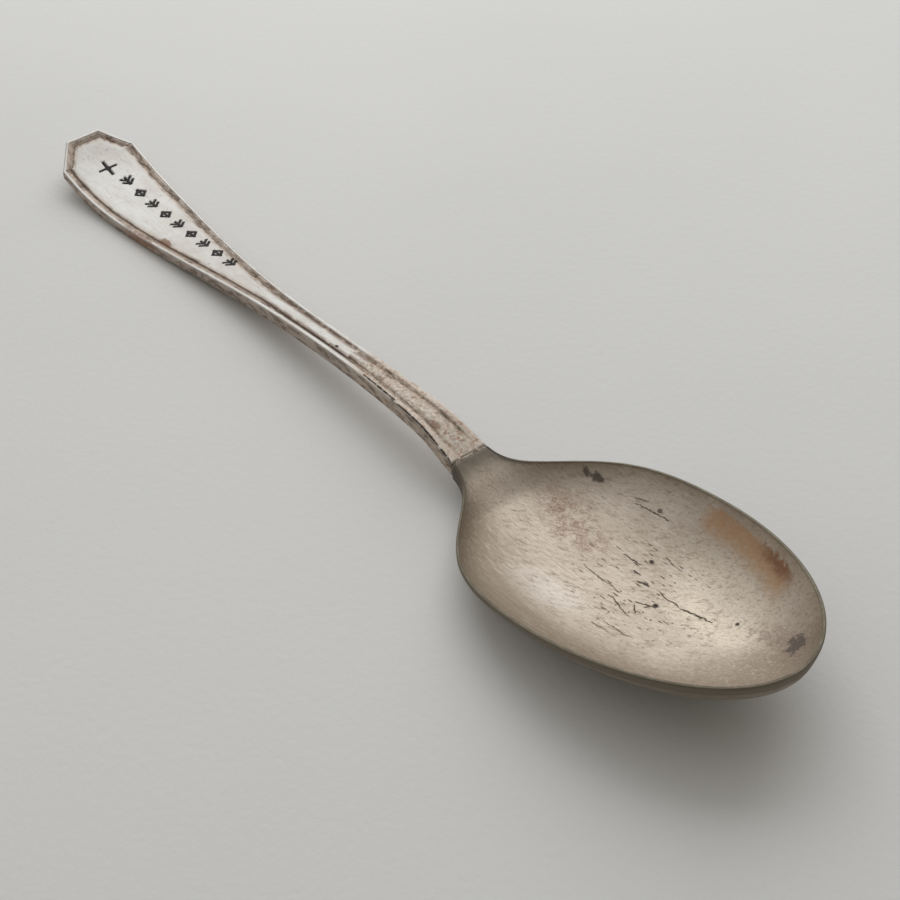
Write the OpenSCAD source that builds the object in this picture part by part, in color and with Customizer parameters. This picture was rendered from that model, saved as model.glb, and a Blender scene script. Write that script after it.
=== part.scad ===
// Souvenir spoon: a pressed bowl joined at the neck to a coffin-ended handle
// that carries a raised panel and ten hand-punched marks filled with black.
// Frame: +X points from the end of the handle to the tip of the bowl, +Z is up and the
// origin is under the middle of the length. The spoon rests on z = 0 on the heel of its
// bowl and the back of its handle. Distances along the spoon are from the handle's end.

/* [Overall] */
// Length from the end of the handle to the tip of the bowl, in mm
spoon_length = 152; // [148:1:156]
// Distance from the end of the handle to the joint across the neck, in mm
joint_at = 95.5; // [94.5:0.5:97]

/* [Handle outline] */
// Half width of the flat end of the handle, in mm
end_half = 2.9; // [2.4:0.1:3.4]
// Half width at the shoulders of the handle, in mm
shoulder_half = 6.4; // [6:0.1:7]
// Distance of the shoulders from the end, in mm
shoulder_at = 4.5; // [4:0.1:5.5]
// Half width where the handle is narrowest, in mm
waist_half = 2.05; // [2:0.05:2.3]
// Distance of the narrowest place from the end, in mm
waist_at = 69; // [66:1:72]
// Half width of the handle at the neck, in mm
neck_half = 2.85; // [2.7:0.05:3.1]

/* [Handle side view] */
// Height of the face at the turned-up end, in mm
end_height = 5.6; // [4.6:0.1:6]
// Distance from the end to the place where the handle rests, in mm
rest_at = 19; // [17:1:22]
// Thickness of the handle where it rests, in mm
rest_thickness = 1.6; // [1.4:0.1:1.8]
// Height of the face at the top of the arch, in mm
arch_height = 6.5; // [6:0.1:8]
// Distance of the top of the arch from the end, in mm
arch_at = 87; // [84:1:88]
// Thickness of the handle at the neck, in mm
neck_thickness = 2.3; // [2:0.1:2.6]

/* [Handle face] */
// Width of the border round the raised panel, in mm
border = 1.45; // [1.4:0.05:1.6]
// Depth of the border where it meets the panel, in mm
groove = 0.28; // [0.2:0.02:0.34]
// Half width of the tongue that ends the panel, in mm
tongue_half = 0.95; // [0.85:0.05:1]
// Distance of the tip of the tongue from the end, in mm
tongue_end = 71; // [68:1:74]

/* [Bowl] */
// Half width of the bowl at its widest, in mm
bowl_half = 16.2; // [15:0.1:17]
// Distance of the widest place from the end of the handle, in mm
bowl_at = 123.5; // [121:0.5:126]
// Height of the rim at the tip of the bowl, in mm
tip_height = 12.8; // [11.5:0.1:14]
// Height of the face at the neck of the bowl, in mm
neck_height = 4.2; // [4:0.1:4.8]
// Distance of the heel of the bowl from the end of the handle, in mm
heel_at = 116; // [114:1:118]
// Thickness of the bowl at its bottom, in mm
bowl_wall = 0.95; // [0.9:0.05:1.2]
// Height of the thinned edge of the bowl, in mm
edge_wall = 0.5; // [0.4:0.05:0.6]

/* [Marks] */
// Size of the first mark, in mm
first_mark = 3; // [2.6:0.1:3.2]
// Size of the other marks, in mm
mark_size = 2.1; // [1.8:0.1:2.3]
// Distance between one mark and the next, in mm
mark_pitch = 3.55; // [3.3:0.05:3.6]
// Depth of each mark, in mm
mark_depth = 0.3; // [0.2:0.05:0.4]

/* [Hidden] */

solder = 0.3;          // thickness of the solder film across the neck
flare_at = 94;         // where the neck starts to widen into the bowl
throat_at = 101;       // lowest place of the face between handle and bowl
rim = 0.45;            // width of the rim of the bowl
flat_dip = 0.08;       // how far the heel is worn to its flat
mark_y = 1.1;          // how far the small marks sit to one side
stroke = 0.28;         // width of a punched line
mark_floor = 0.03;     // how far the black stays below the face
end_slope = -0.48;     // slope of the face at the end of the handle
rim_slope = 0.1;       // slope of the rim at the neck and at the tip

function clamp(v, a, b) = min(max(v, a), b);
function ease(t) = let (c = clamp(t, 0, 1)) c * c * (3 - 2 * c);

// A smooth curve from height a with slope ma to height b with slope mb over a run h.
function blend(t, a, ma, b, mb, h) =
    (2*t*t*t - 3*t*t + 1) * a + (t*t*t - 2*t*t + t) * h * ma
    + (3*t*t - 2*t*t*t) * b + (t*t*t - t*t) * h * mb;

// Height of the face of the handle and of the rim of the bowl along the spoon.
function face_z(x) =
    x < rest_at ? blend(x / rest_at, end_height, end_slope, rest_thickness, 0, rest_at)
    : x < arch_at ? blend((x - rest_at) / (arch_at - rest_at), rest_thickness, 0, arch_height, 0,
                          arch_at - rest_at)
    : x < throat_at ? blend((x - arch_at) / (throat_at - arch_at), arch_height, 0, neck_height,
                            rim_slope, throat_at - arch_at)
    : blend((x - throat_at) / (spoon_length - throat_at), neck_height, rim_slope, tip_height,
            rim_slope, spoon_length - throat_at);

// Half width of the spoon along its length.
function half_w(x) =
    x < shoulder_at ? end_half + (shoulder_half - end_half) * x / shoulder_at
    : x < waist_at ? waist_half + (shoulder_half - waist_half)
        * pow((1 + cos(180 * (x - shoulder_at) / (waist_at - shoulder_at))) / 2, 1.5)
    : x < flare_at ? waist_half + (neck_half - waist_half)
        * pow((x - waist_at) / (flare_at - waist_at), 2)
    : x < bowl_at ? let (q = (x - flare_at) / (bowl_at - flare_at))
        neck_half + (bowl_half - neck_half) * (1 - pow(1 - q, 2.4))
        * (1 - exp(-pow(q / 0.318, 2))) / (1 - exp(-pow(1 / 0.318, 2)))
    : bowl_half * sqrt(max(0, 1 - pow((x - bowl_at) / (spoon_length - bowl_at), 2)));

// Thickness of the handle along its length.
function thick(x) = x < rest_at ? rest_thickness - 0.3 * pow(1 - x / rest_at, 2)
    : rest_thickness + (neck_thickness - rest_thickness) * ease((x - rest_at) / 60);

// ---- handle ----
lean = sqrt(pow(shoulder_at, 2) + pow(shoulder_half - end_half, 2)) / shoulder_at;
function rail(x) = 0.45 + 0.15 * ease((x - 30) / 30) + 0.5 * ease((x - 75) / 20);
function edge_gap(x, y) = x < shoulder_at ? (half_w(x) - abs(y)) / lean : half_w(x) - abs(y);
function edge_in(x, y) = min(x, edge_gap(x, y));
function rail_z(x, d) = d < 0.25 ? -0.3 * (1 - d / 0.25)
    : d < rail(x) ? 0
    : -groove * min(1, (d - rail(x)) / (border - 0.2 - rail(x)));
function panel_in(x, y) = max(edge_in(x, y) - border,
    min(tongue_half - abs(y), tongue_end - x, x - 45));
function panel_z(x, y) = -groove + groove * clamp((panel_in(x, y) + 0.2) / 0.2, 0, 1);
function relief(x, y) = max(rail_z(x, edge_in(x, y)), panel_z(x, y));

function panel_half(x) = x < tongue_end ? max(half_w(x) - border, tongue_half) : 0.4;
function handle_y(x) = let (w = half_w(x), k = x < shoulder_at ? lean : 1, p = panel_half(x))
    [w, w - 0.25 * k, w - rail(x) * k, w - (rail(x) + 0.2) * k, p - border * (k - 1) + 0.2,
     p - border * (k - 1), 0.5 * p, 0];
function handle_ring(x) =
    let (ys = handle_y(x), n = len(ys), w = half_w(x), z = face_z(x), b = max(0, z - thick(x)))
    concat([for (i = [0 : n - 1]) [x, ys[i], z + relief(x, ys[i])]],
           [for (i = [n - 2 : -1 : 0]) [x, -ys[i], z + relief(x, ys[i])]],
           [[x, -w, b + 0.4], [x, -w + 0.4, b], [x, 0, b], [x, w - 0.4, b], [x, w, b + 0.4]]);
handle_x = concat([0, 0.25, 0.8, 1, 1.25, 1.45, 2, 2.6, 3.3, 4],
                  [for (i = [0 : 1 : 4]) shoulder_at + i * 0.5],
                  [for (x = [7.5 : 1.1 : 67.5]) x],
                  [for (i = [-2 : 0.5 : 1]) tongue_end + i], [for (x = [74.5 : 1.1 : joint_at - 1]) x],
                  [joint_at]);

// A closed solid from a row of rings that all have the same number of points.
module skin(rings) {
    m = len(rings[0]);
    n = len(rings);
    points = [for (r = rings) for (p = r) p];
    sides = [for (i = [0 : n - 2]) for (j = [0 : m - 1]) let (k = (j + 1) % m)
             for (t = [[i*m + j, i*m + k, (i + 1)*m + j], [i*m + k, (i + 1)*m + k, (i + 1)*m + j]]) t];
    first = [for (j = [m - 1 : -1 : 0]) j];
    last = [for (j = [0 : m - 1]) (n - 1)*m + j];
    polyhedron(points, concat(sides, [first], [last]), convexity = 8);
}

// ---- bowl ----
bowl_start = joint_at + solder;
function keel(x) = x < heel_at
    ? blend((x - joint_at) / (heel_at - joint_at), face_z(joint_at) - neck_thickness, -0.3, 0, 0,
            heel_at - joint_at)
    : (tip_height - bowl_wall)
      * (1 - pow(1 - pow(min(1, (x - heel_at) / (spoon_length - heel_at)), 2.2), 0.6));
function rim_wall(x) = edge_wall + (neck_thickness - edge_wall) * (1 - ease((x - joint_at) / 9));
function hollow(s, e) = pow(max(0, 1 - pow(abs(s), 2.2)), e);
function bowl_out(x, s) = let (top = face_z(x) - rim_wall(x), low = keel(x) - flat_dip)
    max(0, top - max(0, top - low) * hollow(s, 0.75));
function bowl_in(x, s) = let (low = keel(x) + bowl_wall - flat_dip, top = face_z(x))
    top - max(0, top - low) * hollow(s, 0.7) * ease((x - bowl_start) / 8);
spread = concat([for (a = [-84 : 12 : -12]) sin(a)], [sin(-8), 0, sin(8)],
                [for (a = [12 : 12 : 84]) sin(a)]);
function bowl_ring(x) = let (w = half_w(x), v = max(w - rim, w * 0.45), z = face_z(x))
    concat([[x, w, z - 0.2], [x, w - (w - v) * 0.4, z]],
           [for (i = [len(spread) - 1 : -1 : 0]) [x, v * spread[i], bowl_in(x, spread[i])]],
           [[x, -w + (w - v) * 0.4, z], [x, -w, z - 0.2], [x, -w, z - rim_wall(x)]],
           [for (s = spread) [x, w * s, bowl_out(x, s)]],
           [[x, w, z - rim_wall(x)]]);
bowl_x = concat([for (x = [bowl_start : 0.9 : bowl_at - 1]) x],
                [for (a = [0 : 4 : 84]) bowl_at + (spoon_length - bowl_at) * sin(a)],
                [for (a = [86.5, 88.5]) bowl_at + (spoon_length - bowl_at) * sin(a)]);

// ---- neck joint ----
function neck_ring(x) = let (w = half_w(x) - 0.1, z = face_z(x), b = z - thick(x))
    [[x, w, z - 0.35], [x, w - 0.3, z - 0.05], [x, -w + 0.3, z - 0.05], [x, -w, z - 0.35],
     [x, -w, b + 0.5], [x, -w + 0.4, b + 0.1], [x, w - 0.4, b + 0.1], [x, w, b + 0.5]];

// ---- marks ----
mark_x0 = 7.1;
function mark_x(i) = i == 0 ? mark_x0 : mark_x0 + 0.3 + i * mark_pitch;
function slope_at(x) = (face_z(x + 0.05) - face_z(x - 0.05)) / 0.1;

module bar(length, turn) {
    rotate(turn) square([length, stroke], center = true);
}

module lozenge(across) {
    circle(d = across, $fn = 4);
}

// Three plain punched figures: a crossed star, a barred lozenge and a stemmed pair of chevrons.
module figure(kind, size) {
    if (kind == 0) {
        bar(size, 0);
        bar(size, 90);
        lozenge(size * 0.35);
    } else if (kind == 1) {
        difference() {
            lozenge(size * 0.95);
            lozenge(size * 0.95 - 2 * sqrt(2) * stroke);
        }
        bar(size, 90);
    } else {
        bar(size * 0.9, 90);
        for (s = [-1, 1]) {
            translate([s * size * 0.2, size * 0.17]) bar(size * 0.62, s * 40);
            translate([s * size * 0.2, -size * 0.2]) bar(size * 0.62, s * 40);
        }
    }
}

module place_mark(i) {
    x = mark_x(i);
    translate([x, i == 0 ? 0 : mark_y, face_z(x)])
        rotate([0, -atan(slope_at(x)), 0]) rotate(90) children();
}

module mark_shape(i, top) {
    place_mark(i) translate([0, 0, -mark_depth]) linear_extrude(mark_depth + top)
        figure(i == 0 ? 0 : 1 + (i % 2), i == 0 ? first_mark : mark_size);
}

// Moves what is drawn from the end of the handle so that the origin is at mid-length.
module centred() {
    translate([-spoon_length / 2, 0, 0]) children();
}

module bowl() {
    color("silver") centred() skin([for (x = bowl_x) bowl_ring(x)]);
}

module handle() {
    color("lightgray") centred() difference() {
        skin([for (x = handle_x) handle_ring(x)]);
        for (i = [0 : 9]) mark_shape(i, 1);
    }
}

module neck_solder() {
    color("tan") centred() skin([for (x = [joint_at, joint_at + solder]) neck_ring(x)]);
}

module mark_fill(i) {
    color("black") centred() mark_shape(i, -mark_floor);
}

module mark_fill_1() { mark_fill(0); }
module mark_fill_2() { mark_fill(1); }
module mark_fill_3() { mark_fill(2); }
module mark_fill_4() { mark_fill(3); }
module mark_fill_5() { mark_fill(4); }
module mark_fill_6() { mark_fill(5); }
module mark_fill_7() { mark_fill(6); }
module mark_fill_8() { mark_fill(7); }
module mark_fill_9() { mark_fill(8); }
module mark_fill_10() { mark_fill(9); }

bowl();
handle();
neck_solder();
mark_fill_1();
mark_fill_2();
mark_fill_3();
mark_fill_4();
mark_fill_5();
mark_fill_6();
mark_fill_7();
mark_fill_8();
mark_fill_9();
mark_fill_10();
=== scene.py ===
import logging
import math
from dataclasses import dataclass, field
from enum import Enum
from typing import Any, Sequence

import bpy
import numpy as np
from mathutils import Matrix, Vector


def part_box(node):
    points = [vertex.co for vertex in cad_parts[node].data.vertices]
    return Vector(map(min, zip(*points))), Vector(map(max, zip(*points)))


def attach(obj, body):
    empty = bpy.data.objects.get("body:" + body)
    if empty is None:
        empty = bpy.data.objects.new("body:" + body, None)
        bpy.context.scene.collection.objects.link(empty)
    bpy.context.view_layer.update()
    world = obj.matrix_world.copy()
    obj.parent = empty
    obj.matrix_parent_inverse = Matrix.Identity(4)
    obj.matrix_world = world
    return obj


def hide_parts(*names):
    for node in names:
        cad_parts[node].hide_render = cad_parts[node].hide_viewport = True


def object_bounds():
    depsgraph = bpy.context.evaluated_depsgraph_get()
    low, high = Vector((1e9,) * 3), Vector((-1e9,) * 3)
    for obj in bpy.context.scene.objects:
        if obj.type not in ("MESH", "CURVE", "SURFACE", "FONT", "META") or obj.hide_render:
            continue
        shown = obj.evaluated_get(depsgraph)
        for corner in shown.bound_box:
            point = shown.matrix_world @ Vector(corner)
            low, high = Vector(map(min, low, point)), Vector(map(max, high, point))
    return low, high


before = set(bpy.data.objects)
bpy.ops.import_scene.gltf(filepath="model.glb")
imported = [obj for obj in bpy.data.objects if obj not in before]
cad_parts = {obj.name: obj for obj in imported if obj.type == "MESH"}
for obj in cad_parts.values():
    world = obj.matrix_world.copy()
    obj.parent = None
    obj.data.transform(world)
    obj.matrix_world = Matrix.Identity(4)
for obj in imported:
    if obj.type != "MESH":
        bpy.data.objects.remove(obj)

Array = np.ndarray
Colour = tuple[float, float, float]

LOG = logging.getLogger("spoon")
CAD_LOW, CAD_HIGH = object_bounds()
MM = 0.001


# ---- shape


def clamp01(value: Array) -> Array:
    """Keeps a value between 0 and 1."""
    return np.clip(value, 0.0, 1.0)


def put(name: str, data: Any) -> bpy.types.Object:
    """Puts a new object with that data into the scene.

    Args:
        name: Its name.
        data: Its mesh, lamp or camera.

    Returns:
        The object.
    """
    made = bpy.data.objects.new(name, data)
    bpy.context.scene.collection.objects.link(made)
    return made


def ease(value: Array) -> Array:
    """Goes from 0 to 1 with a level start and end: three squares less two cubes."""
    c = clamp01(value)
    return c * c * (3.0 - 2.0 * c)


def blend(t: Array, a: float, slope_a: float, b: float, slope_b: float, run: float) -> Array:
    """A cubic from height a to height b over a run, with a given slope at each end.

    Args:
        t: How far along the run, from 0 to 1.
        a: Height at the start.
        slope_a: Slope at the start.
        b: Height at the end.
        slope_b: Slope at the end.
        run: Length of the run.

    Returns:
        The height at t.
    """
    t2, t3 = t * t, t * t * t
    return (
        (2 * t3 - 3 * t2 + 1) * a
        + (t3 - 2 * t2 + t) * run * slope_a
        + (3 * t2 - 2 * t3) * b
        + (t3 - t2) * run * slope_b
    )


@dataclass(frozen=True)
class SpoonForm:
    """The sizes that the handle and the bowl share, in millimetres from the handle's end."""

    length: float
    joint_at: float
    tip_height: float
    start_x: float
    end_half: float = 2.9
    shoulder_half: float = 6.4
    shoulder_at: float = 4.5
    waist_half: float = 2.05
    waist_at: float = 69.0
    neck_half: float = 2.85
    flare_at: float = 94.0
    bowl_half: float = 16.2
    bowl_at: float = 123.5
    end_height: float = 5.6
    end_slope: float = -0.48
    rest_at: float = 19.0
    rest_thickness: float = 1.6
    arch_height: float = 6.5
    arch_at: float = 87.0
    throat_at: float = 101.0
    neck_height: float = 4.2
    rim_slope: float = 0.1
    neck_thickness: float = 2.3

    @classmethod
    def from_frame(cls) -> "SpoonForm":
        """Reads the overall sizes from the frame's own boxes.

        Returns:
            The form.
        """
        handle_high, bowl_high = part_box("handle")[1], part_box("bowl")[1]
        return cls(
            length=(bowl_high.x - CAD_LOW.x) / MM,
            joint_at=(handle_high.x - CAD_LOW.x) / MM,
            tip_height=bowl_high.z / MM,
            start_x=CAD_LOW.x,
        )

    def face(self, x: Array) -> Array:
        """Height of the face: four cubics, from the turned-up end to the tip of the bowl.

        Args:
            x: Places along the spoon.

        Returns:
            The heights.
        """
        x = np.asarray(x, float)
        pieces = (
            (0.0, self.end_height, self.end_slope, self.rest_at, self.rest_thickness, 0.0),
            (self.rest_at, self.rest_thickness, 0.0, self.arch_at, self.arch_height, 0.0),
            (self.arch_at, self.arch_height, 0.0, self.throat_at, self.neck_height,
             self.rim_slope),
            (self.throat_at, self.neck_height, self.rim_slope, self.length, self.tip_height,
             self.rim_slope),
        )
        heights = [
            blend((x - x0) / (x1 - x0), z0, s0, z1, s1, x1 - x0)
            for x0, z0, s0, x1, z1, s1 in pieces
        ]
        return np.select([x < p[3] for p in pieces[:3]], heights[:3], heights[3])

    def half_width(self, x: Array) -> Array:
        """Half width: straight coffin end, cosine taper, widening neck, flare and half ellipse.

        Args:
            x: Places along the spoon.

        Returns:
            The half widths.
        """
        x = np.asarray(x, float)
        end = self.end_half + (self.shoulder_half - self.end_half) * x / self.shoulder_at
        t = clamp01((x - self.shoulder_at) / (self.waist_at - self.shoulder_at))
        taper = (self.shoulder_half - self.waist_half) * ((1 + np.cos(np.pi * t)) / 2) ** 1.5
        n = np.clip(x - self.waist_at, 0, None) / (self.flare_at - self.waist_at)
        neck = self.waist_half + (self.neck_half - self.waist_half) * n**2
        q = clamp01((x - self.flare_at) / (self.bowl_at - self.flare_at))
        swell = (1 - (1 - q) ** 2.4) * (1 - np.exp(-((q / 0.318) ** 2)))
        flare = self.neck_half + (self.bowl_half - self.neck_half) * swell
        oval = 1 - ((x - self.bowl_at) / (self.length - self.bowl_at)) ** 2
        return np.select(
            [x < self.shoulder_at, x < self.waist_at, x < self.flare_at, x < self.bowl_at],
            [end, self.waist_half + taper, neck, flare],
            self.bowl_half * np.sqrt(clamp01(oval)),
        )

    def thickness(self, x: Array) -> Array:
        """Thickness of the handle: thin at the end, thicker towards the neck.

        Args:
            x: Places along the handle.

        Returns:
            The thicknesses.
        """
        thin = self.rest_thickness - 0.3 * clamp01(1 - x / self.rest_at) ** 2
        swell = (self.neck_thickness - self.rest_thickness) * ease((x - self.rest_at) / 60)
        return thin + swell

    def metres(self, points: Array) -> Array:
        """Turns millimetres from the handle's end into the frame's metres."""
        return points * MM + np.array([self.start_x, 0.0, 0.0])


@dataclass
class Loft:
    """A closed skin over a row of rings with the same number of points.

    Each ring runs across the top from +Y to -Y and back underneath, and the rings follow +X.
    """

    name: str
    rings: Array
    marks: dict[str, Array] = field(default_factory=dict)

    def build(self) -> bpy.types.Object:
        """Makes the mesh: quads between neighbours and a fan to a middle point at each end.

        Returns:
            The new object, smooth shaded, with one float attribute for each entry of marks.
        """
        n, m, _ = self.rings.shape
        middle = self.rings[[0, -1]].mean(axis=1)
        points = np.concatenate([self.rings.reshape(-1, 3), middle])
        i, j = np.meshgrid(np.arange(n - 1), np.arange(m), indexing="ij")
        k = (j + 1) % m
        quads = np.stack([i * m + j, i * m + k, (i + 1) * m + k, (i + 1) * m + j], -1)
        ring = np.arange(m)
        after = (ring + 1) % m
        first = np.stack([np.full(m, n * m), after, ring], -1)
        last = np.stack([np.full(m, n * m + 1), ring + (n - 1) * m, after + (n - 1) * m], -1)
        mesh = bpy.data.meshes.new(self.name)
        corners = [quads.reshape(-1, 4), first, last]
        mesh.from_pydata(points.tolist(), [], [f for part in corners for f in part.tolist()])
        for name, values in self.marks.items():
            layer = mesh.attributes.new(name, "FLOAT", "POINT")
            ends = np.array([values[0].mean(), values[-1].mean()])
            layer.data.foreach_set(
                "value", np.concatenate([values.reshape(-1), ends]).astype(np.float32)
            )
        mesh.polygons.foreach_set("use_smooth", np.ones(len(mesh.polygons), bool))
        mesh.update()
        return put(self.name, mesh)


def soft_noise(x: Array, y: Array, step: float, seed: int) -> Array:
    """Smooth random waves: the mean of nine sines, each with its own turn, length and phase.

    Args:
        x: Places along the spoon.
        y: Places across it.
        step: The usual length of a wave.
        seed: The seed of the draws.

    Returns:
        Heights between -1 and 1.
    """
    rng = np.random.default_rng(seed)
    total = np.zeros_like(x)
    for _ in range(9):
        angle, phase = rng.uniform(0, 2 * np.pi, 2)
        reach = 2 * np.pi / (step * rng.uniform(0.6, 1.7))
        total = total + np.sin(reach * (x * np.cos(angle) + y * np.sin(angle)) + phase)
    return total / 9.0


class Figure(Enum):
    """The three plain figures punched into the handle."""

    STAR = 0
    LOZENGE = 1
    CHEVRONS = 2


@dataclass(frozen=True)
class PunchedMark:
    """One figure punched into the face, in millimetres."""

    at: float
    aside: float
    size: float
    figure: Figure
    stroke: float = 0.28

    def bars(self) -> list[tuple[float, float, float, float]]:
        """The straight strokes as (middle u, middle v, length, turn in degrees).

        Returns:
            One tuple for each stroke.
        """
        s = self.size
        if self.figure is Figure.STAR:
            return [(0, 0, s, 0), (0, 0, s, 90)]
        if self.figure is Figure.LOZENGE:
            return [(0, 0, s, 90)]
        pairs = [(k * s * 0.2, v * s, s * 0.62, k * 40) for k in (-1, 1) for v in (0.17, -0.2)]
        return [(0, 0, s * 0.9, 90), *pairs]

    def distance(self, x: Array, y: Array) -> Array:
        """Distance from the strokes' edge, negative inside: the least over bars and lozenge.

        Args:
            x: Places along the handle.
            y: Places across it.

        Returns:
            The distances.
        """
        u, v = y - self.aside, self.at - x
        found = np.full(np.shape(x), 99.0)
        for bu, bv, length, turn in self.bars():
            c, s = math.cos(math.radians(turn)), math.sin(math.radians(turn))
            along, across = (u - bu) * c + (v - bv) * s, (v - bv) * c - (u - bu) * s
            dx, dy = np.abs(along) - length / 2, np.abs(across) - self.stroke / 2
            outside = np.hypot(np.maximum(dx, 0), np.maximum(dy, 0))
            found = np.minimum(found, outside + np.minimum(np.maximum(dx, dy), 0))
        spread = (np.abs(u) + np.abs(v)) / math.sqrt(2)
        if self.figure is Figure.STAR:
            found = np.minimum(found, spread - self.size * 0.175 / math.sqrt(2))
        if self.figure is Figure.LOZENGE:
            middle = self.size * 0.475 / math.sqrt(2) - self.stroke / 2
            found = np.minimum(found, np.abs(spread - middle) - self.stroke / 2)
        return found


# ---- shader helpers


class Signal:
    """A shader socket that takes part in Python sums, each of which adds a Math node."""

    def __init__(self, paint: "Paint", socket: Any) -> None:
        """Keeps the tree and the socket."""
        self.paint, self.socket = paint, socket

    def _do(self, operation: str, *values: Any) -> "Signal":
        """Adds one Math node."""
        return self.paint.maths(operation, *values)

    def __add__(self, other: Any) -> "Signal":
        """Adds."""
        return self._do("ADD", self, other)

    __radd__ = __add__

    def __sub__(self, other: Any) -> "Signal":
        """Takes away."""
        return self._do("SUBTRACT", self, other)

    def __rsub__(self, other: Any) -> "Signal":
        """Takes this away from a number."""
        return self._do("SUBTRACT", other, self)

    def __mul__(self, other: Any) -> "Signal":
        """Multiplies."""
        return self._do("MULTIPLY", self, other)

    __rmul__ = __mul__

    def __truediv__(self, other: Any) -> "Signal":
        """Divides."""
        return self._do("DIVIDE", self, other)

    def __pow__(self, other: Any) -> "Signal":
        """Raises to a power."""
        return self._do("POWER", self, other)

    def at_least(self, other: Any) -> "Signal":
        """The larger of two values."""
        return self._do("MAXIMUM", self, other)

    def at_most(self, other: Any) -> "Signal":
        """The smaller of two values."""
        return self._do("MINIMUM", self, other)

    def size(self) -> "Signal":
        """The value without its sign."""
        return self._do("ABSOLUTE", self)

    def between(self, low: float, high: float) -> "Signal":
        """Goes smoothly from 0 to 1.

        Args:
            low: Where it is 0.
            high: Where it is 1, above or below low.

        Returns:
            The eased value.
        """
        node = self.paint.node(
            "ShaderNodeMapRange",
            {"interpolation_type": "SMOOTHSTEP", "clamp": True},
            {"Value": self, "From Min": low, "From Max": high},
        )
        return Signal(self.paint, node.outputs["Result"])


@dataclass(frozen=True)
class Scratch:
    """A straight scratch from one point to another, in millimetres."""

    x0: float
    y0: float
    x1: float
    y1: float
    width: float = 0.16
    depth: float = 1.0


@dataclass(frozen=True)
class Blot:
    """An oval stain with a ragged edge, in millimetres."""

    x: float
    y: float
    along: float
    across: float
    turn: float = 0.0
    strength: float = 1.0
    ragged: float = 0.5


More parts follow.
